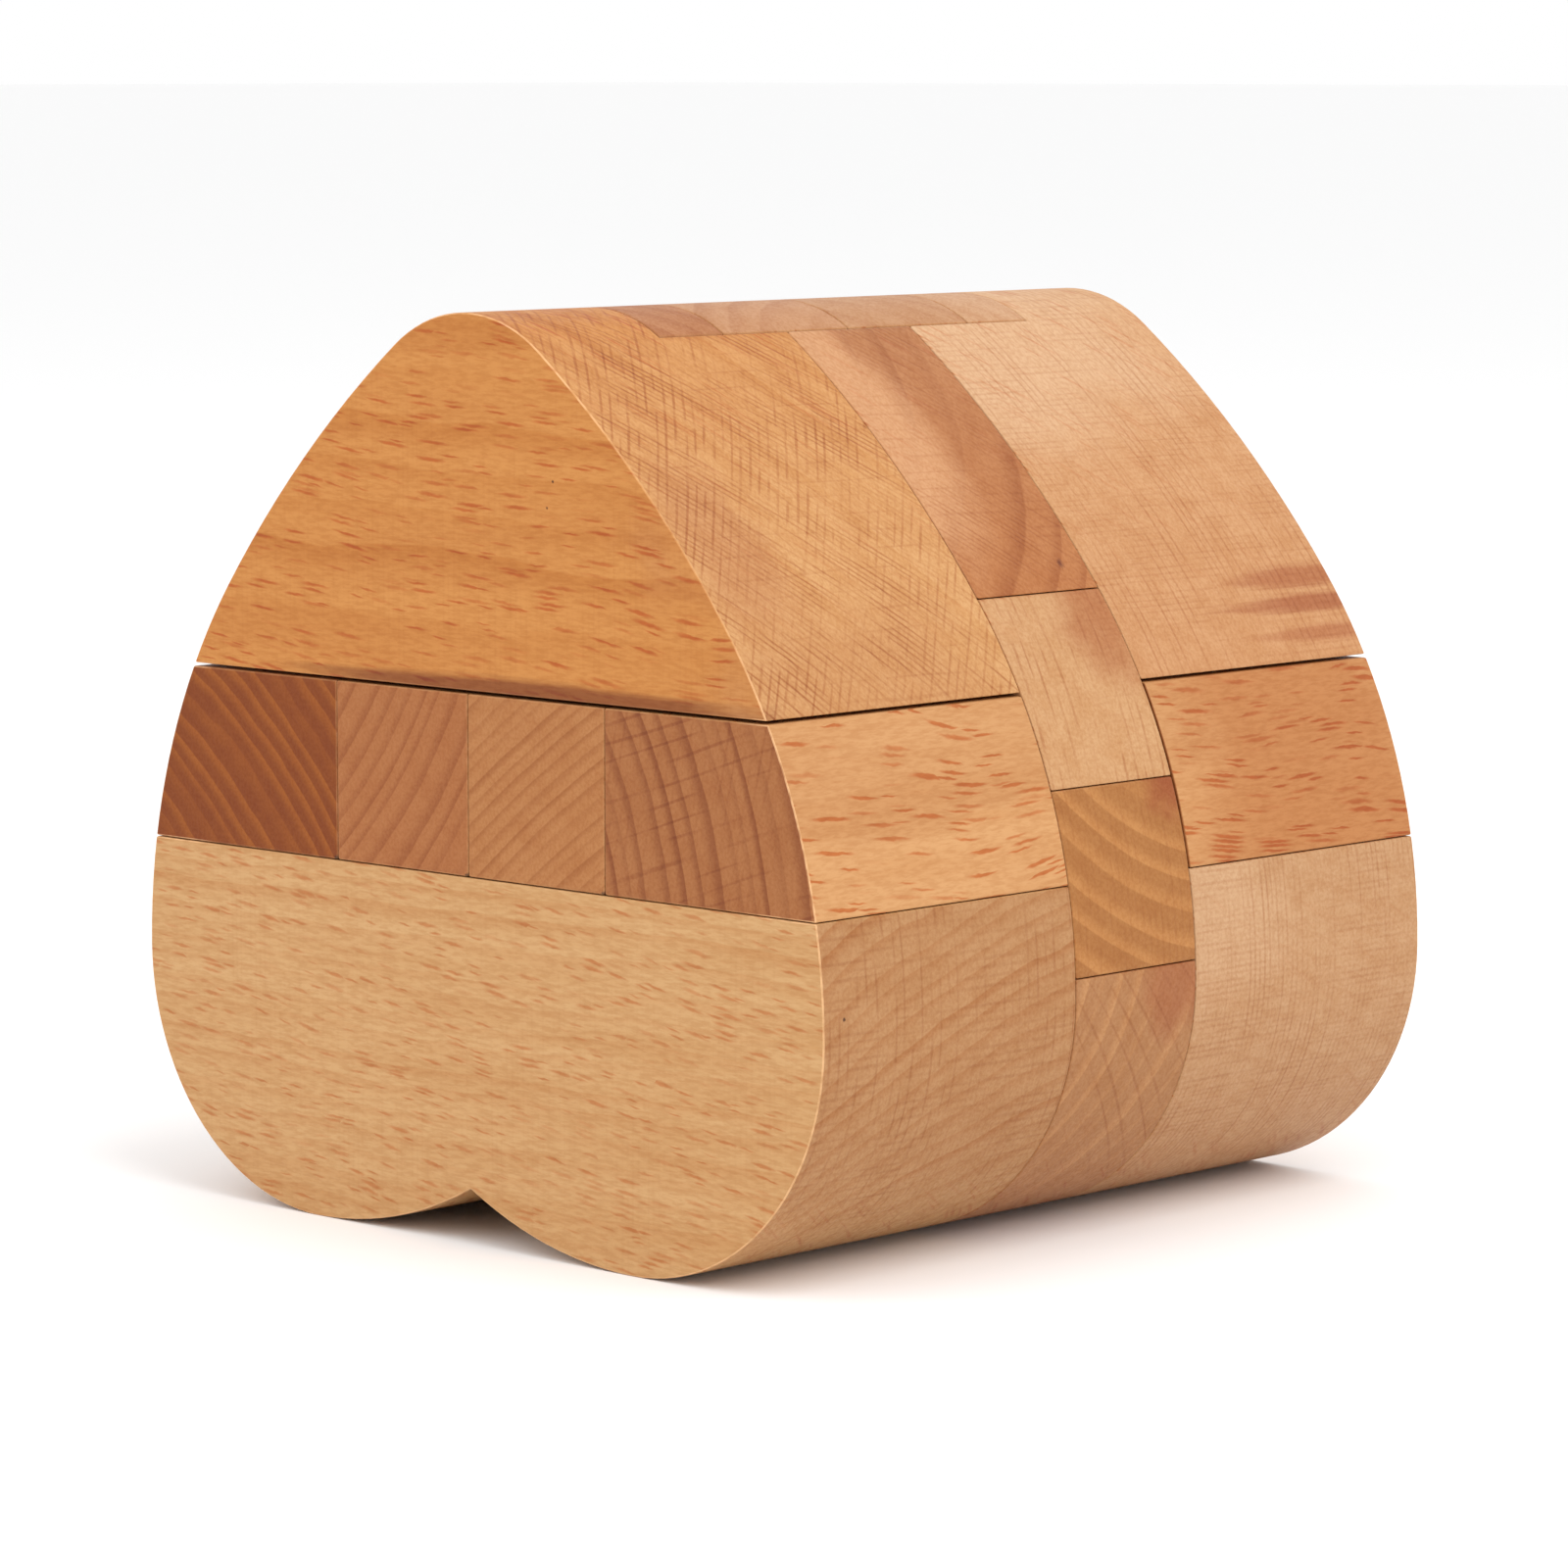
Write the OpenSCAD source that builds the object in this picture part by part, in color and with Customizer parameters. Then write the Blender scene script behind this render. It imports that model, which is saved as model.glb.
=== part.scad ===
// Heart-shaped burr puzzle of sixteen wooden pieces, standing on its two lobes.
// The heart is one outline in X and Z, carried straight through the depth in Y.
// Origin: on the ground, midway between the lobes and midway through the depth.
// Three rows of sticks cross in the middle of the heart:
//   row sticks run front to rear, cross sticks run left to right, uprights run up and down.
// Four blocks fill the corners. One cell is a stick's thickness.

/* [Stick grid] */
// Thickness of a stick, in mm: the size of one cell
cell = 15; // [14:0.25:16]
// Width of each of the two inner row sticks, in cells
inner_w = 1.05; // [1:0.01:1.12]
// Depth of the heart from its front face to its rear face, in cells
depth = 4.95; // [4.6:0.05:5.4]

/* [Heart outline] */
// Height of the peak above the middle of the stick row, in mm
peak_h = 38.25; // [37:0.25:40]
// Radius of the rounded peak, in mm
peak_r = 14; // [10:0.5:16]
// Radius of the long upper flank, in mm
flank_r = 104; // [98:1:110]
// Radius of the shoulder, which ends at the widest line, in mm
shoulder_r = 52.5; // [50:0.5:55]
// Radius of the side of each lobe, in mm
lobe_r = 21; // [19:0.5:23]
// Radius of the underside from each lobe up to the cleft, in mm
under_r = 40; // [36:1:48]

/* [Interlock] */
// How far a block's lips reach in behind its key strip from each side, in cells
lip_w = 0.25; // [0.15:0.05:0.3]
// Height of the lips above or below the row's middle where they start, in cells
lip_start = 1.6; // [1.55:0.01:1.65]
// Length of the upper blocks' lips, in cells
upper_lip = 0.45; // [0.3:0.05:0.5]
// Length of the lower blocks' lips, in cells
lower_lip = 0.2; // [0.15:0.05:0.3]
// How far a block's lugs reach in under or over the end cross stick, in cells
lug_reach = 0.25; // [0.15:0.05:0.35]
// Width of each lug, in cells
lug_w = 0.55; // [0.4:0.05:0.6]

/* [Fit] */
// Gap between neighbouring pieces, in mm
gap = 0.08; // [0.06:0.02:0.3]
// Extra gap between the upper blocks and the stick row, in mm
block_lift = 0.2; // [0:0.02:0.3]
// Extra gap between the cross sticks and the rear half of each outer row stick, in mm
notch_slack = 0.14; // [0:0.02:0.3]

/* [Hidden] */

half = cell / 2;
row_edge = inner_w * cell;            // outer face of the inner row sticks
web_edge = row_edge + half;           // outer face of the web inside each outer row stick
far = 4 * cell;                       // beyond the heart in every direction
all = [-far, far];
lip_edge = half - lip_w * cell;
key_floor = -(lip_start + lower_lip) * cell;  // the key strips stand on the lower blocks here
lug_near = 0.7 * cell;                // each lug starts this far to the side
$fn = 180;

// Outline: a chain of arcs, each touching the next, from the peak round to the cleft.
// Where two arcs meet, the outline faces along one of these directions; the sides of a
// 3-4-5 triangle keep every centre and every joint a round number.
meets = [[3, 4] / 5, [4, 3] / 5, [1, 0], [0, -1]];
radii = [peak_r, flank_r, shoulder_r, lobe_r, under_r];
peak_centre = [0, peak_h - peak_r];
flank_centre = peak_centre + (peak_r - flank_r) * meets[0];
shoulder_centre = flank_centre + (flank_r - shoulder_r) * meets[1];
lobe_centre = shoulder_centre + (shoulder_r - lobe_r) * meets[2];
under_centre = lobe_centre + (lobe_r - under_r) * meets[3];
centres = [peak_centre, flank_centre, shoulder_centre, lobe_centre, under_centre];
joints = [for (i = [0:3]) centres[i] + radii[i] * meets[i]];
row_z = -joints[3].y;                 // height of the row's middle above the ground

// Carries an outline through the whole depth
module through() {
    linear_extrude(height = depth * cell, center = true) children();
}

// The part of one arc's disc that lies between the directions of two points of the outline
module sector(i, from, to) {
    through() intersection() {
        translate(centres[i]) circle(r = radii[i]);
        polygon([[0, 0], 2 * from, 2 * (from + to), 2 * to]);
    }
}

// Right half of the heart below the rounded peak, with straight lines between the arcs' ends
module half_heart() {
    through() polygon(concat([[0, 0], peak_centre], joints));
    for (i = [1:3])
        sector(i, joints[i - 1], joints[i]);
    sector(4, joints[3], [0, -row_z]);
}

// The whole heart, with the middle of the stick row at height zero
module heart() {
    rotate([90, 0, 0]) {
        sector(0, [-joints[0].x, joints[0].y], joints[0]);
        half_heart();
        mirror([1, 0, 0]) half_heart();
    }
}

// A box from its two limits on each axis, grown or shrunk by the same amount on every side
module box(x, y, z, grow) {
    translate([x[0] - grow, y[0] - grow, z[0] - grow])
        cube([x[1] - x[0] + 2 * grow, y[1] - y[0] + 2 * grow, z[1] - z[0] + 2 * grow]);
}

// Wood that fills its place less half the gap all round
module wood(x, y, z) { box(x, y, z, -gap / 2); }

// Room cut out for another piece, with half the gap all round
module room(x, y, z) { box(x, y, z, gap / 2); }

// Cut to the heart's outline and set at its height above the ground
module piece(tint) {
    color(tint) translate([0, 0, row_z]) intersection() {
        heart();
        children();
    }
}

module at_rear() { mirror([0, 1, 0]) children(); }
module at_left() { mirror([1, 0, 0]) children(); }
module both_sides() {
    children();
    at_left() children();
}

// Corner blocks, drawn for the front. Lips hook behind the key strip, lugs behind a cross stick.
module upper_block() {
    difference() {
        wood(all, [-far, -half], [half + block_lift, far]);
        room([-half, half], [-3 * half, far], all);
    }
    both_sides() {
        wood([lip_edge, cell], [-cell, -half], [lip_start, lip_start + upper_lip] * cell);
        wood([lug_near, lug_near + lug_w * cell], [-cell, -half + lug_reach * cell],
            [cell, (1 + lug_reach) * cell]);
    }
}

module lower_block() {
    difference() {
        wood(all, [-far, -half], [-far, -half]);
        room([-half, half], [-cell, far], all);
        room([-half, half], [-3 * half, far], [key_floor, far]);
    }
    both_sides() {
        wood([lip_edge, cell], [-cell, -half], [key_floor, -lip_start * cell]);
        wood([lug_near, lug_near + lug_w * cell], [-cell, -half + lug_reach * cell],
            [-(1 + lug_reach) * cell, -cell]);
    }
}

// Row sticks, drawn for the right. Both pass over the lower cross stick and under the cross key.
module inner_row_stick() {
    difference() {
        wood([0, row_edge], all, [-half, half]);
        room([-half, half], [-3 * half, 3 * half], all);
        room(all, [-half, half], [0, far]);
    }
}

module outer_row_stick() {
    difference() {
        wood([row_edge, far], all, [-half, half]);
        room([web_edge, far], [-half, half + notch_slack], all);
        room(all, [-half, half], [0, far]);
    }
}

// Cross sticks: the two end ones are bridges between the heads or the feet of the uprights
module cross_key() {
    piece("wheat") wood(all, [-half, half], [0, cell]);
}

module cross_stick_lower() {
    piece("goldenrod") difference() {
        wood(all, [-half, half], [-cell, 0]);
        room([-web_edge, web_edge], all, [-half, far]);
    }
}

module end_cross_stick() {
    difference() {
        wood(all, [-half, half], [cell, far]);
        room([-half, half], all, [3 * half, far]);
        for (side = [0, 1])
            mirror([0, side, 0])
                both_sides()
                    room([lug_near, lug_near + lug_w * cell], [half - lug_reach * cell, far],
                        [0, (1 + lug_reach) * cell]);
    }
}

module cross_stick_top() { piece("sienna") end_cross_stick(); }
module cross_stick_bottom() { piece("rosybrown") mirror([0, 0, 1]) end_cross_stick(); }

// Uprights, drawn for the front. Each has a head, a middle lug and a foot joined by a narrow back.
module upright() {
    difference() {
        wood([-half, half], [-cell, 0], all);
        room(all, [-half, far], [0, 3 * half]);
        room(all, [-half, far], [-3 * half, -half]);
        both_sides() {
            room([lip_edge, far], [-far, -half], [lip_start, lip_start + upper_lip] * cell);
            room([lip_edge, far], [-far, -half], [key_floor, -lip_start * cell]);
        }
    }
}

module key_strip() { wood([-half, half], [-3 * half, -cell], [key_floor, far]); }

module front_upper_block() { piece("darkorange") upper_block(); }
module rear_upper_block() { piece("burlywood") at_rear() upper_block(); }
module front_lower_block() { piece("tan") lower_block(); }
module rear_lower_block() { piece("navajowhite") at_rear() lower_block(); }
module row_stick_left_outer() { piece("saddlebrown") at_left() outer_row_stick(); }
module row_stick_left_inner() { piece("peru") at_left() inner_row_stick(); }
module row_stick_right_inner() { piece("sandybrown") inner_row_stick(); }
module row_stick_right_outer() { piece("chocolate") outer_row_stick(); }
module front_key_strip() { piece("brown") key_strip(); }
module front_upright() { piece("darkkhaki") upright(); }
module rear_upright() { piece("tan") at_rear() upright(); }
module rear_key_strip() { piece("peachpuff") at_rear() key_strip(); }

front_upper_block();
rear_upper_block();
front_lower_block();
rear_lower_block();
row_stick_left_outer();
row_stick_left_inner();
row_stick_right_inner();
row_stick_right_outer();
cross_stick_top();
cross_key();
cross_stick_lower();
cross_stick_bottom();
front_key_strip();
front_upright();
rear_upright();
rear_key_strip();
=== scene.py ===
"""Looks of the heart-shaped burr puzzle: sixteen pieces of sanded, oiled beech on a pale floor.

Every piece is cut from its own plank. The figure is worked out in solid wood, so that growth rings,
ray flecks and fibres run on from one face of a piece to the next. Lengths in WOODS are millimetres,
with x to the right, y to the rear and z up from the middle of the stick row.
"""

import math

import bpy
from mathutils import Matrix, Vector


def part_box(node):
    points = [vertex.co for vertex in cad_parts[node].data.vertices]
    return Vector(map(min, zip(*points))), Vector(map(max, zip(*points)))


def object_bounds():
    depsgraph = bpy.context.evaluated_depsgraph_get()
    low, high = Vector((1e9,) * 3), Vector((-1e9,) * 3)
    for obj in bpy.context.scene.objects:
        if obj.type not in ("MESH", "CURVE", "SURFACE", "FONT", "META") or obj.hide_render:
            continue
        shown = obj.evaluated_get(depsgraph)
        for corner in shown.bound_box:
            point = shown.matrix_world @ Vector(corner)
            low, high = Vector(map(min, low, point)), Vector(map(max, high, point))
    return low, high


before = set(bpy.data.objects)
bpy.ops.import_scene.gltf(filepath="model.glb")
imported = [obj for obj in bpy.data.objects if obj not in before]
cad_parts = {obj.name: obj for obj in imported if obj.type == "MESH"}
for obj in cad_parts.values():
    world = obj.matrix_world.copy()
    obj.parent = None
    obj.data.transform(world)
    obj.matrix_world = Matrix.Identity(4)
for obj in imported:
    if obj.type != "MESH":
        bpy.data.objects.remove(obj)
cad_low, cad_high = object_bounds()
centre = (cad_low + cad_high) / 2
row_low, row_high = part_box("row_stick_left_inner")
row_middle = (row_low.z + row_high.z) / 2

MM = 0.001
WIDTH = cad_high.x - cad_low.x
HEIGHT = cad_high.z - cad_low.z
OUTLINE_RADIUS = 39        # the heart is nearly this far from the row's middle all the way round

# Camera: the heart seen from the front right and slightly from above
CAMERA_AZIMUTH = 43.7
CAMERA_ELEVATION = 6.8
CAMERA_DISTANCE = 6.52 * WIDTH
AIM_DROP = 0.043 * HEIGHT
CAMERA_LENS = 139.0
SENSOR = 36.0
NEAREST = 0.01             # the camera sees from here
FARTHEST = 100             # to here

# Studio
FLOOR_SIZE = 40
LIGHT_DISTANCE = 0.9

# Edges
EDGE_RADIUS = 0.16 * MM
EDGE_SEGMENTS = 2
EDGE_ANGLE = math.radians(30)      # sharper edges than this are rounded
FLAT_ANGLE = math.radians(0.2)     # faces closer to flat than this become one
JOIN_DISTANCE = 0.001 * MM

GRAIN_ORDER = {"X": (0, 1, 2), "Y": (1, 0, 2), "Z": (2, 0, 1)}

# One entry for each piece:
#   slot         material slot in the record
#   grain        the axis that its fibres follow
#   pith         where the tree's centre was, on the two axes across the grain
#   ring         spacing of the growth rings
#   late         share of each ring where the late wood starts
#   ring_tint    colour that the late wood is multiplied by, above 1 where it is the paler part
#   ring_show    how much the rings show on faces along the grain and on end grain
#   wave         how far the rings wander
#   long, end    colour on faces along the grain and on end grain, as sRGB
#   fleck        length and height of the ray flecks, and how strong they are, above 1 for fuller ones
#   slope        how fast the flecks fall away from the piece's axis
#   lines        marks on the outline's curved faces: angle, spacing, strength, dash length
#   face_lines   the same on the flat front and rear faces
#   stains_and_shade  soft patches, mostly stains and a few painted shade: centre as shares of the piece's box,
#   half sizes, colour, strength
COMMON = dict(
    late=0.6, ring_show=(0.7, 0.8), wave=1.0, fleck=(2.4, 0.3, 0.8), slope=0.05,
    lines=[], face_lines=[], stains_and_shade=[],
)
WOODS = {
    "front_upper_block": dict(
        slot="honey_beech", grain="X", pith=(-150, -90), ring=3.3, ring_tint=(0.84, 0.7, 0.48),
        ring_show=(0.7, 0.3), wave=2.2, long=(192, 130, 66), end=(199, 153, 103),
        fleck=(2.7, 0.25, 1.0), slope=0.09,
        lines=[(41, 0.62, 1.0, 8), (-31, 0.9, 0.85, 4), (28, 1.7, 0.45, 4), (90, 2.3, 0.3, 6)],
        face_lines=[(0, 0.6, 0.1, 9)],
        stains_and_shade=[((0.62, 0, 0.01), (34, 4, 1.2), (124, 64, 24), 0.9),
                ((0.85, 0.15, 0.4), (13, 6, 9), (170, 110, 70), 0.4),
                ((1, 0.4, 0), (14, 18, 11), (180, 126, 78), 0.55),
                ((0.65, 0, 0.57), (0.16, 1, 0.16), (70, 34, 14), 0.9),
                ((0.64, 0, 0.5), (0.14, 1, 0.14), (80, 40, 18), 0.9)],
    ),
    "rear_upper_block": dict(
        slot="pale_beech", grain="X", pith=(30, -120), ring=1.7, ring_tint=(0.93, 0.87, 0.8),
        ring_show=(0.6, 0.3), wave=1.6, long=(201, 157, 113), end=(190, 140, 96), fleck=(2.2, 0.3, 0.8),
        lines=[(2, 0.9, 0.55, 20), (90, 0.7, 0.3, 6)], face_lines=[(0, 0.6, 0.1, 9)],
        stains_and_shade=[((0.95, 0.95, 0.22), (10, 13, 1.1), (156, 88, 50), 0.7),
                ((0.97, 1, 0.15), (10, 17, 0.9), (150, 80, 44), 0.75),
                ((1, 1, 0.07), (10, 14, 0.8), (158, 90, 52), 0.6),
                ((0.65, 0.35, 0.95), (26, 24, 15), (203, 164, 127), 0.8)],
    ),
    "front_lower_block": dict(
        slot="tan_beech", grain="X", pith=(5, -92), ring=1.75, late=0.74, ring_tint=(0.87, 0.72, 0.58),
        ring_show=(0.55, 1.0), wave=1.5, long=(195, 153, 104), end=(174, 129, 86),
        fleck=(2.1, 0.27, 0.75), slope=0.12,
        lines=[(0, 1.05, 0.5, 5), (90, 0.6, 0.4, 9)], face_lines=[(0, 0.6, 0.08, 9)],
        stains_and_shade=[((1, 0.07, 0.75), (1, 0.2, 0.2), (66, 36, 20), 0.9)],
    ),
    "rear_lower_block": dict(
        slot="pale_beech", grain="X", pith=(-20, -140), ring=1.9, late=0.78, ring_tint=(0.9, 0.8, 0.7),
        ring_show=(0.2, 0.3), wave=1.0, long=(189, 145, 104), end=(186, 144, 104), fleck=(2.2, 0.3, 0.8),
        lines=[(0, 0.62, 0.6, 14), (90, 0.45, 0.4, 9)], face_lines=[(0, 0.6, 0.08, 9)],
        stains_and_shade=[((1, 0.15, 0.85), (14, 14, 9), (198, 160, 123), 0.55)],
    ),
    "row_stick_left_outer": dict(
        slot="dark_beech", grain="Y", pith=(-82, -56), ring=1.8, late=0.66, ring_tint=(1.42, 1.78, 2.7),
        ring_show=(0.3, 1.0), wave=1.7, long=(168, 110, 66), end=(125, 60, 8), fleck=(3.0, 0.3, 0.8),
        # dark spot at the front bottom right corner: painted shadow in the notch there
        stains_and_shade=[((1, 0, 0), (0.5, 1, 0.4), (50, 26, 14), 0.9)],
    ),
    "row_stick_left_inner": dict(
        slot="pink_beech", grain="Y", pith=(-55, 35), ring=1.8, late=0.78, ring_tint=(0.78, 0.66, 0.56),
        ring_show=(0.5, 0.95), wave=0.5, long=(182, 132, 86), end=(163, 103, 58),
        # dark spot at the front bottom right corner: painted shadow in the notch there
        stains_and_shade=[((1, 0, 0), (0.45, 1, 0.35), (60, 32, 18), 0.85)],
    ),
    "row_stick_right_inner": dict(
        slot="tan_beech", grain="Y", pith=(84, -104), ring=1.2, late=0.78, ring_tint=(0.78, 0.66, 0.54),
        ring_show=(0.5, 0.95), wave=0.3, long=(182, 132, 86), end=(171, 115, 67),
        # dark spot at the front bottom right corner: painted shadow in the notch there
        stains_and_shade=[((1, 0, 0), (0.45, 1, 0.35), (60, 32, 18), 0.85)],
    ),
    "row_stick_right_outer": dict(
        slot="orange_beech", grain="Y", pith=(-20, -16), ring=1.9, late=0.72, ring_tint=(0.66, 0.5, 0.4),
        ring_show=(0.25, 1.0), wave=0.7, long=(196, 146, 96), end=(159, 102, 58),
        fleck=(3.2, 0.21, 1.5), slope=0.03,
        face_lines=[(72, 1.5, 0.7, 6), (12, 1.0, 0.4, 7)],
        # deeper orange over the rear half: painted shade where the light falls off towards the rear
        stains_and_shade=[((0.9, 0.85, 0.5), (30, 19, 30), (172, 110, 60), 0.8)],
    ),
    "cross_stick_top": dict(
        slot="red_beech", grain="X", pith=(-25, 46), ring=3.6, late=0.84, ring_tint=(0.76, 0.62, 0.5),
        ring_show=(0.5, 0.85), wave=0.6, long=(171, 119, 79), end=(172, 110, 62),
        lines=[(41, 0.6, 0.6, 6), (88, 1.1, 0.3, 5)],
        stains_and_shade=[((0.75, 0, 0.65), (22, 9, 18), (200, 150, 107), 0.8),
                ((1, 0.8, 0.1), (3, 0.55, 0.55), (100, 48, 30), 0.85)],
    ),
    "cross_key": dict(
        slot="pale_beech", grain="X", pith=(-60, -40), ring=5.0, ring_tint=(0.97, 0.94, 0.9), wave=1.6,
        ring_show=(0.4, 0.6), long=(190, 142, 98), end=(192, 148, 104),
        lines=[(-4, 1.15, 0.7, 4), (90, 0.6, 0.16, 6)],
        stains_and_shade=[((0.95, 1, 1), (10, 9, 8.5), (164, 104, 62), 0.9)],
    ),
    "cross_stick_lower": dict(
        slot="honey_beech", grain="X", pith=(15, 21), ring=2.7, late=0.72, ring_tint=(1.3, 1.42, 1.6),
        ring_show=(0.3, 0.9), wave=0.5, long=(178, 126, 78), end=(161, 107, 56),
        lines=[(0, 0.8, 0.24, 5)],
        stains_and_shade=[((1, 1, 1), (6, 5.5, 4.6), (140, 68, 34), 0.8)],
    ),
    "cross_stick_bottom": dict(
        slot="pink_beech", grain="X", pith=(-52, 6), ring=2.1, late=0.82, ring_tint=(1.22, 1.28, 1.3),
        ring_show=(0.3, 0.85), wave=0.7, long=(174, 124, 84), end=(166, 118, 76),
        lines=[(44, 1.7, 0.5, 9), (-40, 0.7, 0.36, 6)],
        stains_and_shade=[((1, 0.85, 0.95), (6, 5, 6), (150, 84, 48), 0.6)],
    ),
    "front_key_strip": dict(
        slot="red_beech", grain="Z", pith=(30, -60), ring=2.4, ring_tint=(0.84, 0.72, 0.62),
        long=(172, 120, 78), end=(171, 115, 74),
    ),
    "front_upright": dict(
        slot="tan_beech", grain="Z", pith=(24, 8), ring=3.4, ring_tint=(0.86, 0.76, 0.68),
        long=(180, 132, 88), end=(184, 136, 98),
    ),
    "rear_upright": dict(
        slot="pink_beech", grain="Z", pith=(26, -14), ring=3.2, ring_tint=(0.86, 0.75, 0.66),
        long=(180, 132, 88), end=(182, 136, 98),
    ),
    "rear_key_strip": dict(
        slot="tan_beech", grain="Z", pith=(-20, 60), ring=2.6, ring_tint=(0.9, 0.81, 0.74),
        long=(186, 140, 98), end=(192, 150, 114),
    ),
}

FIBRE_TINT = (0.86, 0.78, 0.7)
STREAK_TINT = (0.9, 0.82, 0.72)
FLECK_TINT = (0.8, 0.46, 0.26)
FLECK_SHARE = 0.55         # a fleck of full length takes about this share of its cell
LINE_TINT = (0.72, 0.54, 0.42)
# Pale rim on the bevelled outline edges: partly wear, partly a painted highlight of the lit edge
WEAR_AND_HIGHLIGHT_COLOUR = (240, 192, 142)
WEAR_AND_HIGHLIGHT_STRENGTH = 0.55
RIM_DEPTH = 0.3            # pale rims, partly wear and partly painted highlight, lie within this distance of the front and rear faces
RIM_FADE = 0.5             # and have faded out at this one
LINE_WIDTH = 0.34
BUMP_DEPTH = 0.02 * MM
ROUGHNESS = 0.48
GLOSS = 0.22               # specular level of sanded, oiled wood
SEED_STEP = 11.7           # sets each piece's noise apart from the others'


def linear(colour):
    """An sRGB colour of 0 to 255 as linear RGBA."""
    parts = [c / 255 for c in colour]
    return [p / 12.92 if p <= 0.04045 else ((p + 0.055) / 1.055) ** 2.4 for p in parts] + [1.0]


class Graph:
    """Short calls that build one material's node tree. Each returns an output socket."""

    def __init__(self, name):
        self.material = bpy.data.materials.new(name)
        self.material.use_nodes = True
        self.tree = self.material.node_tree
        self.tree.nodes.clear()

    def put(self, socket, value):
        if isinstance(value, bpy.types.NodeSocket):
            self.tree.links.new(value, socket)
        else:
            socket.default_value = value

    def add(self, kind, inputs=None, **settings):
        node = self.tree.nodes.new(kind)
        for name, value in settings.items():
            setattr(node, name, value)
        for name, value in (inputs or {}).items():
            self.put(node.inputs[name], value)
        return node

    def math(self, operation, *values):
        inputs = dict(enumerate(values))
        return self.add("ShaderNodeMath", inputs, operation=operation).outputs[0]

    def plus(self, a, b):
        return self.math("ADD", a, b)

    def times(self, a, b):
        return self.math("MULTIPLY", a, b)

    def vector(self, x, y, z):
        return self.add("ShaderNodeCombineXYZ", {0: x, 1: y, 2: z}).outputs[0]

    def split(self, vector):
        return list(self.add("ShaderNodeSeparateXYZ", {0: vector}).outputs)

    def length(self, vector):
        return self.add("ShaderNodeVectorMath", {0: vector}, operation="LENGTH").outputs["Value"]

    def noise(self, vector, detail=2.0, roughness=0.5):
        inputs = {"Vector": vector, "Scale": 1.0, "Detail": detail, "Roughness": roughness}
        return self.add("ShaderNodeTexNoise", inputs).outputs[0]

    def smooth(self, value, start, end, low=0.0, high=1.0):
        inputs = {"Value": value, "From Min": start, "From Max": end, "To Min": low, "To Max": high}
        return self.add("ShaderNodeMapRange", inputs, interpolation_type="SMOOTHSTEP").outputs["Result"]

    def blend(self, base, colour, factor, mode="MIX"):
        node = self.add("ShaderNodeMix", data_type="RGBA", blend_type=mode)
        self.put(node.inputs["Factor"], factor)
        self.put(node.inputs[6], base)
        self.put(node.inputs[7], colour)
        return node.outputs[2]

    def shade(self, base, tint, factor):
        """Base multiplied by a tint, where the factor is above zero."""
        return self.blend(base, [*tint, 1.0], factor, "MULTIPLY")


class Wood:
    """Where a point lies in its piece: along and across the grain, and on the outline's surface."""

    def __init__(self, g, node_name, spec, seed):
        source = g.add("ShaderNodeTexCoord")
        scaled = g.add("ShaderNodeVectorMath", {0: source.outputs["Object"], "Scale": 1 / MM},
                       operation="SCALE").outputs[0]
        x, y, z = g.split(scaled)
        z = g.plus(z, -row_middle / MM)
        self.seed = seed
        self.place = (x, y, z)
        self.low, self.high = [corner / MM - Vector((0, 0, row_middle / MM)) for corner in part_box(node_name)]
        self.along, self.first, self.second = [self.place[i] for i in GRAIN_ORDER[spec["grain"]]]
        normals = g.split(source.outputs["Normal"])
        along_normal = normals[GRAIN_ORDER[spec["grain"]][0]]
        self.end_grain = g.smooth(g.math("ABSOLUTE", along_normal), 0.35, 0.95)
        face_on = g.math("ABSOLUTE", normals[1])
        outer = g.smooth(g.math("ABSOLUTE", y), cad_high.y / MM - RIM_FADE, cad_high.y / MM - RIM_DEPTH)
        slanted = g.times(g.smooth(face_on, 0.1, 0.3), g.smooth(face_on, 0.99, 0.93))
        on_outline = g.smooth(g.length(g.vector(x, 0.0, z)), OUTLINE_RADIUS - 8, OUTLINE_RADIUS - 4, 0.2, 1.0)
        # the pale rim, partly wear and partly painted highlight, on bevel faces near the front and rear of the
        # outline
        worn_and_lit = g.smooth(g.noise(g.vector(g.times(x, 0.9), seed, g.times(z, 0.9)), 2.0), 0.3, 0.6, 0.4, 1.0)
        self.wear_and_highlight_rim = g.times(g.times(slanted, outer), g.times(on_outline, worn_and_lit))
        down_outline = g.times(g.math("ARCTAN2", x, z), OUTLINE_RADIUS)
        self.curved = (y, down_outline, g.smooth(face_on, 0.2, 0.05))
        self.flat = (x, z, g.smooth(face_on, 0.9, 0.97))


def growth_rings(g, wood, spec):
    """How far a point is into the late wood of its ring, and each ring's own strength."""
    du = g.plus(wood.first, -spec["pith"][0])
    dv = g.plus(wood.second, -spec["pith"][1])
    radius = g.length(g.vector(du, dv, 0.0))
    slow = g.vector(g.times(wood.along, 0.035), g.times(du, 0.06), g.times(dv, 0.06))
    wander = g.times(g.plus(g.noise(slow, 3.0), -0.5), spec["wave"] * 2)
    uneven = g.times(g.noise(g.vector(g.times(radius, 0.35 / spec["ring"]), wood.seed, 0.0), 1.0), 1.7)
    turns = g.plus(g.times(g.plus(radius, wander), 1 / spec["ring"]), uneven)
    share = g.math("FRACT", turns)
    late = g.times(g.smooth(share, spec["late"] - 0.35, 0.93), g.smooth(share, 1.0, 0.94))
    own = g.noise(g.vector(g.times(g.math("FLOOR", turns), 7.3), wood.seed, 0.0), 0.0)
    show = g.smooth(wood.end_grain, 0.0, 1.0, *spec["ring_show"])
    return g.times(g.times(late, g.smooth(own, 0.3, 0.65, 0.35, 1.0)), show)


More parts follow.
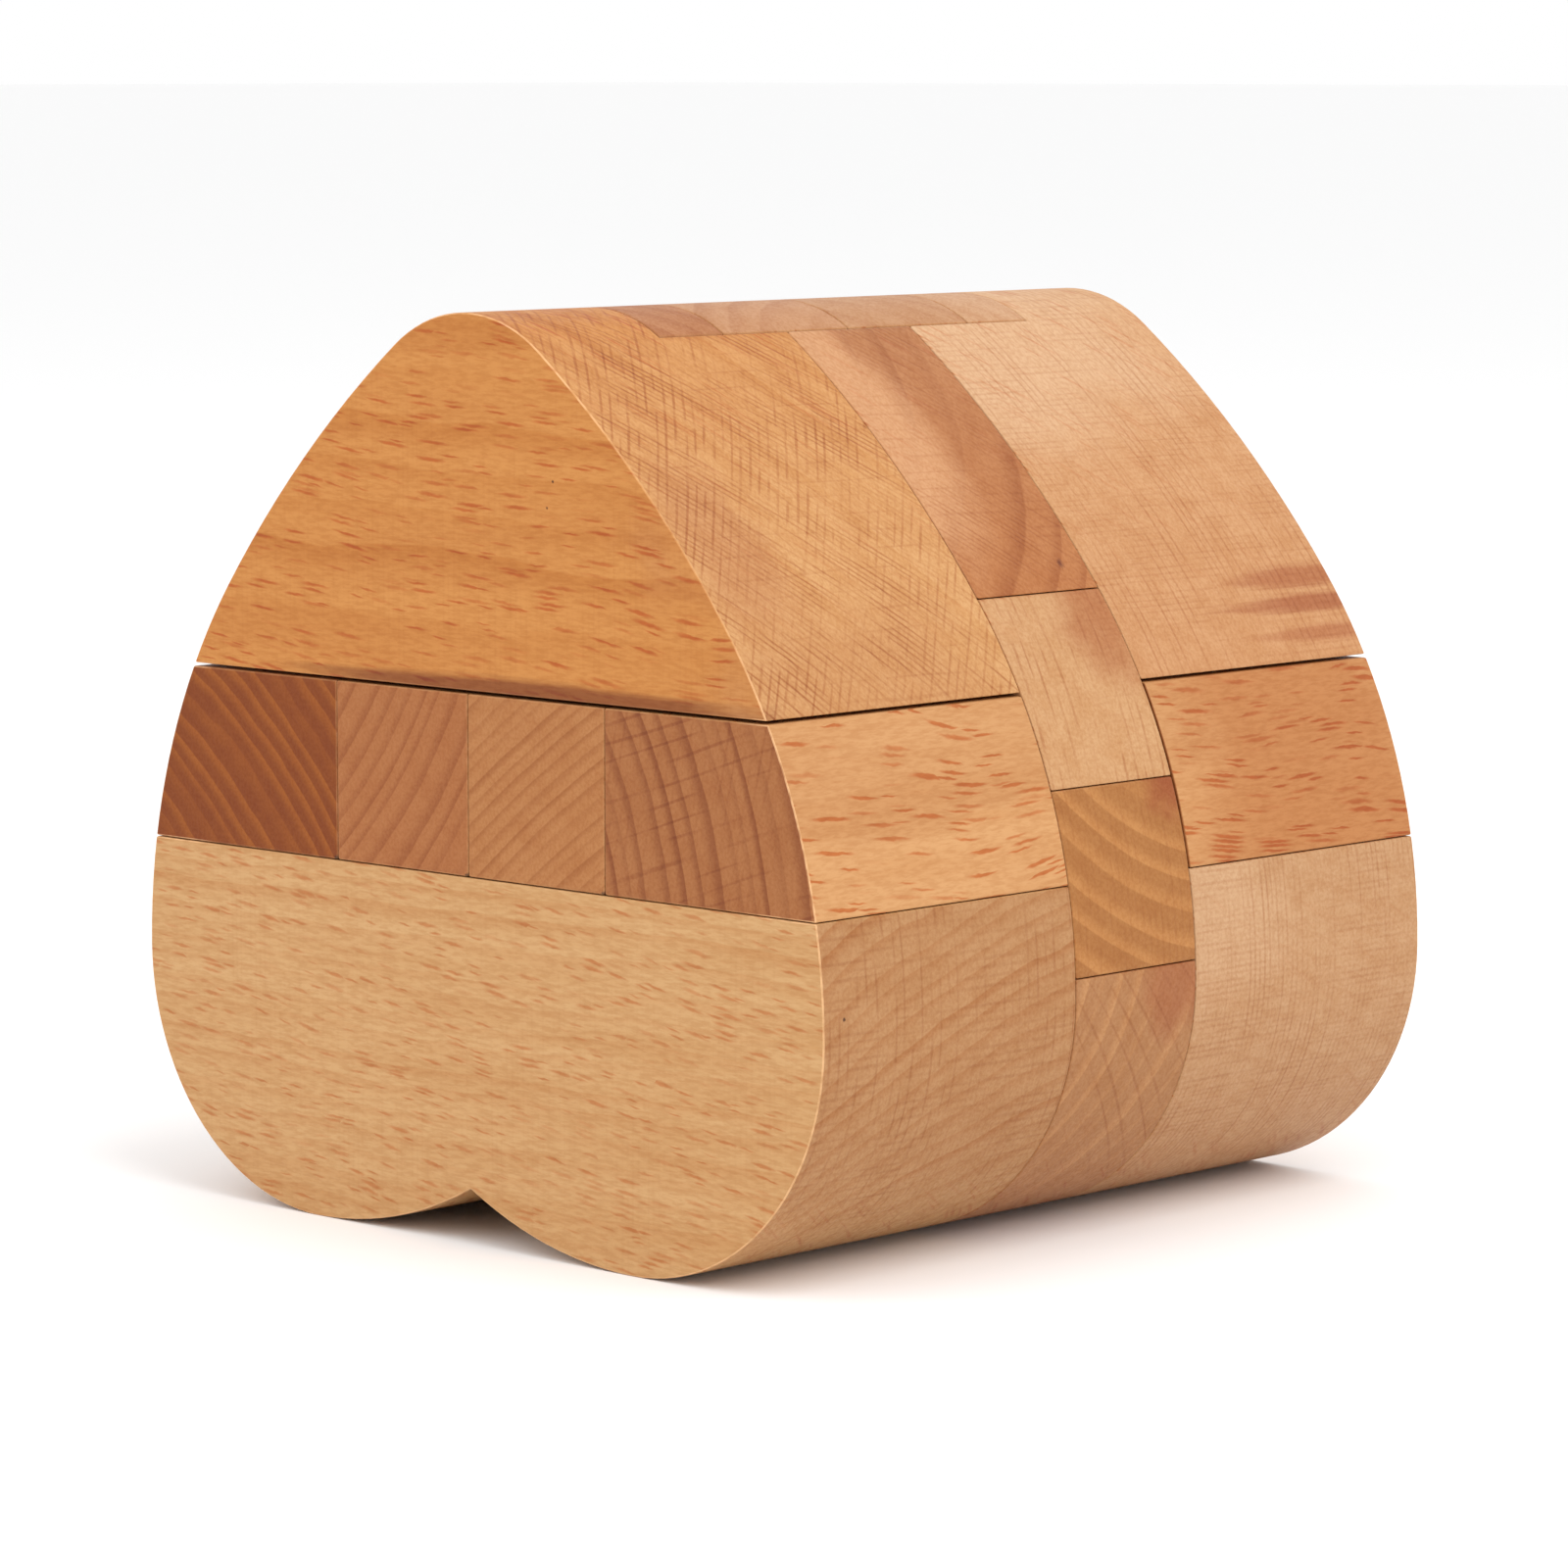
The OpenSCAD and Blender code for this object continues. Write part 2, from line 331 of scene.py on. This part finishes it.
def ray_flecks(g, wood, spec):
    """Short dark spindles along the grain, which fade on end grain."""
    length, height, strength = spec["fleck"]
    across, deep = wood.second, wood.first
    if spec["grain"] == "Z":
        across, deep = wood.first, wood.second
    drift = g.vector(g.times(wood.along, 0.04), g.times(across, 0.06), g.plus(g.times(deep, 0.02), wood.seed))
    slanted = g.plus(g.plus(across, g.times(deep, 0.7)), g.times(wood.along, spec["slope"]))
    level = g.plus(slanted, g.times(g.noise(drift, 1.0), 4.0))
    jitter = g.noise(g.vector(g.times(wood.along, 1.1), g.times(level, 2.5), wood.seed), 1.0)
    cells = g.add("ShaderNodeTexVoronoi", {
        "Vector": g.vector(g.plus(g.times(wood.along, FLECK_SHARE / length), wood.seed),
                           g.plus(g.times(level, FLECK_SHARE / height), g.times(jitter, 0.5)), 0.0),
        "Scale": 1.0,
    }, voronoi_dimensions="2D")
    size, chosen, _ = g.split(cells.outputs["Color"])
    reach = g.math("DIVIDE", cells.outputs["Distance"], g.smooth(size, 0.0, 1.0, 0.24, 0.5))
    spindle = g.times(g.smooth(reach, 1.0, 0.25), g.smooth(chosen, 0.34, 0.66))
    bands = g.vector(g.times(wood.along, 0.05), g.times(level, 0.4), wood.seed)
    crowded = g.smooth(g.noise(bands, 1.0), 0.34, 0.58, 0.5, 1.0)
    shown = g.smooth(wood.end_grain, 0.0, 1.0, strength, 0.1 * strength)
    return g.times(g.times(spindle, crowded), shown)


def fibres(g, wood):
    """Fine fibres and pores: thin dashes along the grain, dots on end grain."""
    fine = g.vector(g.times(wood.along, 0.7), g.times(wood.first, 3.4), g.times(wood.second, 3.4))
    return g.smooth(g.noise(fine, 2.5, 0.65), 0.36, 0.66)


def streaks(g, wood):
    """Broad soft bands along the grain."""
    slow = g.vector(g.plus(g.times(wood.along, 0.03), wood.seed), g.times(wood.first, 0.28),
                    g.times(wood.second, 0.42))
    return g.smooth(g.noise(slow, 4.5, 0.66), 0.36, 0.7)


def thin_lines(g, surface, angle, spacing, dash, seed):
    """Broken thin lines on a surface (u, v, where it shows). Angle 0 runs along v, 90 along u."""
    u, v, shown = surface
    turn = math.radians(angle)
    over = g.plus(g.times(u, math.cos(turn)), g.times(v, -math.sin(turn)))
    run = g.plus(g.times(u, math.sin(turn)), g.times(v, math.cos(turn)))
    bend = g.noise(g.vector(g.times(over, 0.3), g.times(run, 0.03), seed), 2.0)
    phase = g.plus(g.times(over, 1 / spacing), g.times(bend, 1.1))
    crest = g.math("COSINE", g.times(phase, 2 * math.pi))
    line = g.smooth(crest, math.cos(math.pi * LINE_WIDTH / spacing), 1.0)
    broken = g.noise(g.vector(g.times(over, 0.8 / spacing), g.times(run, 1 / dash), seed + 5.0), 2.0)
    patchy = g.noise(g.vector(g.times(over, 0.09), g.times(run, 0.07), seed + 9.0), 2.0)
    strength = g.times(g.smooth(broken, 0.36, 0.62), g.smooth(patchy, 0.34, 0.62, 0.25, 1.0))
    return g.times(g.times(line, strength), shown)


def stain_and_shade_patch(g, wood, shares, half_sizes):
    """A soft patch with a ragged edge. Its centre is given as shares of the piece's box."""
    middle = [a + share * (b - a) for a, b, share in zip(wood.low, wood.high, shares)]
    parts = [g.times(g.plus(p, -m), 1 / h) for p, m, h in zip(wood.place, middle, half_sizes)]
    ragged = g.noise(g.vector(*[g.times(p, 1.4) for p in parts]), 3.0, 0.6)
    reach = g.plus(g.length(g.vector(*parts)), g.times(g.plus(ragged, -0.5), 0.9))
    return g.smooth(reach, 1.05, 0.45)


def beech(node_name, spec, seed):
    """The material of one piece."""
    g = Graph(f"{spec['slot']}_{node_name}")
    wood = Wood(g, node_name, spec, seed)
    rings = growth_rings(g, wood, spec)
    flecks = ray_flecks(g, wood, spec)
    fibre = fibres(g, wood)
    colour = g.blend(linear(spec["long"]), linear(spec["end"]), wood.end_grain)
    colour = g.shade(colour, STREAK_TINT, g.times(streaks(g, wood), 0.8))
    colour = g.shade(colour, spec["ring_tint"], rings)
    # stains in the wood, and a few patches of painted shade in notches and on a shaded half
    for shares, half_sizes, patch, strength in spec["stains_and_shade"]:
        colour = g.blend(colour, linear(patch), g.times(stain_and_shade_patch(g, wood, shares, half_sizes), strength))
    colour = g.shade(colour, FIBRE_TINT, g.times(fibre, 0.75))
    colour = g.shade(colour, FLECK_TINT, flecks)
    scratches = 0.0
    marks = [(wood.curved, *mark) for mark in spec["lines"]]
    marks += [(wood.flat, *mark) for mark in spec["face_lines"]]
    for i, (surface, angle, spacing, strength, dash) in enumerate(marks):
        line = g.times(thin_lines(g, surface, angle, spacing, dash, seed + 3.0 * i), strength)
        colour = g.shade(colour, LINE_TINT, line)
        scratches = g.plus(scratches, line)
    # paints the pale rim: partly wear, partly a painted highlight on the lit edges
    colour = g.blend(colour, linear(WEAR_AND_HIGHLIGHT_COLOUR), g.times(wood.wear_and_highlight_rim, WEAR_AND_HIGHLIGHT_STRENGTH))

    relief = g.plus(g.times(fibre, -0.35), g.plus(g.times(flecks, -0.25), g.times(scratches, -0.8)))
    bump = g.add("ShaderNodeBump", {"Height": relief, "Distance": BUMP_DEPTH, "Strength": 1.0})
    shader = g.add("ShaderNodeBsdfPrincipled", {
        "Base Color": colour,
        "Roughness": g.plus(g.times(fibre, 0.1), g.plus(g.times(flecks, -0.05), ROUGHNESS)),
        "Specular IOR Level": GLOSS,
        "Normal": bump.outputs[0],
    })
    output = g.add("ShaderNodeOutputMaterial")
    g.put(output.inputs["Surface"], shader.outputs[0])
    return g.material


def round_edges(node):
    """Joins a node's faces into one closed skin and rounds its edges, all with modifiers."""
    join = node.modifiers.new("join", "WELD")
    join.merge_threshold = JOIN_DISTANCE
    flatten = node.modifiers.new("flatten", "DECIMATE")
    flatten.decimate_type = "DISSOLVE"
    flatten.angle_limit = FLAT_ANGLE
    bevel = node.modifiers.new("edges", "BEVEL")
    bevel.width = EDGE_RADIUS
    bevel.segments = EDGE_SEGMENTS
    bevel.limit_method = "ANGLE"
    bevel.angle_limit = EDGE_ANGLE
    bevel.harden_normals = True
    # A clamp would fit a whole piece's rounding to its smallest hidden step. Without one, the
    # rounding crosses itself in hidden corners, and the outer row sticks touch the cross key.
    bevel.use_clamp_overlap = False
    node.modifiers.new("normals", "WEIGHTED_NORMAL").keep_sharp = False


def finish_piece(node, spec, seed):
    """Gives a CAD node its wood and its rounded edges."""
    node.data.materials.clear()
    node.data.materials.append(beech(node.name, spec, seed))
    round_edges(node)


def floor():
    """A pale floor, wide enough to fill every view."""
    bpy.ops.mesh.primitive_plane_add(size=FLOOR_SIZE, location=(0, 0, cad_low.z))
    plane = bpy.context.object
    plane.name = "floor"
    g = Graph("floor_paint")
    shader = g.add("ShaderNodeBsdfPrincipled", {"Base Color": linear((250, 250, 250)), "Roughness": 0.9})
    output = g.add("ShaderNodeOutputMaterial")
    g.put(output.inputs["Surface"], shader.outputs[0])
    plane.data.materials.append(g.material)


def direction(azimuth, elevation):
    """The way out from the heart. Azimuth 0 is its front, 90 its right side."""
    a, e = math.radians(azimuth), math.radians(elevation)
    return Vector((math.sin(a) * math.cos(e), -math.cos(a) * math.cos(e), math.sin(e)))


def area_light(name, azimuth, elevation, size, power):
    """A soft square light that faces the heart from that direction."""
    back = direction(azimuth, elevation)
    light = bpy.data.lights.new(name, "AREA")
    light.size = size
    light.energy = power
    lamp = bpy.data.objects.new(name, light)
    bpy.context.scene.collection.objects.link(lamp)
    lamp.location = centre + back * LIGHT_DISTANCE
    lamp.rotation_mode = "QUATERNION"
    lamp.rotation_quaternion = (-back).to_track_quat("-Z", "Y")


def studio():
    """White surroundings and two soft lights, the stronger one on the right."""
    world = bpy.data.worlds.new("studio")
    bpy.context.scene.world = world
    world.use_nodes = True
    background = world.node_tree.nodes["Background"]
    background.inputs["Color"].default_value = (1, 1, 1, 1)
    background.inputs["Strength"].default_value = 1.0
    area_light("key", 85, 48, 0.7, 4.0)
    area_light("fill", -20, 35, 0.9, 2.0)
    bpy.context.scene.view_settings.view_transform = "Standard"


def camera():
    """A long lens at the front right, a little above the heart."""
    back = direction(CAMERA_AZIMUTH, CAMERA_ELEVATION)
    data = bpy.data.cameras.new("camera")
    data.lens = CAMERA_LENS
    data.sensor_width = SENSOR
    data.clip_start = NEAREST
    data.clip_end = FARTHEST
    view = bpy.data.objects.new("camera", data)
    bpy.context.scene.collection.objects.link(view)
    view.location = centre - Vector((0, 0, AIM_DROP)) + back * CAMERA_DISTANCE
    view.rotation_mode = "QUATERNION"
    view.rotation_quaternion = (-back).to_track_quat("-Z", "Y")
    bpy.context.scene.camera = view


camera()
studio()
floor()
for index, (piece, spec) in enumerate(WOODS.items()):
    finish_piece(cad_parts[piece], {**COMMON, **spec}, SEED_STEP * (index + 1))
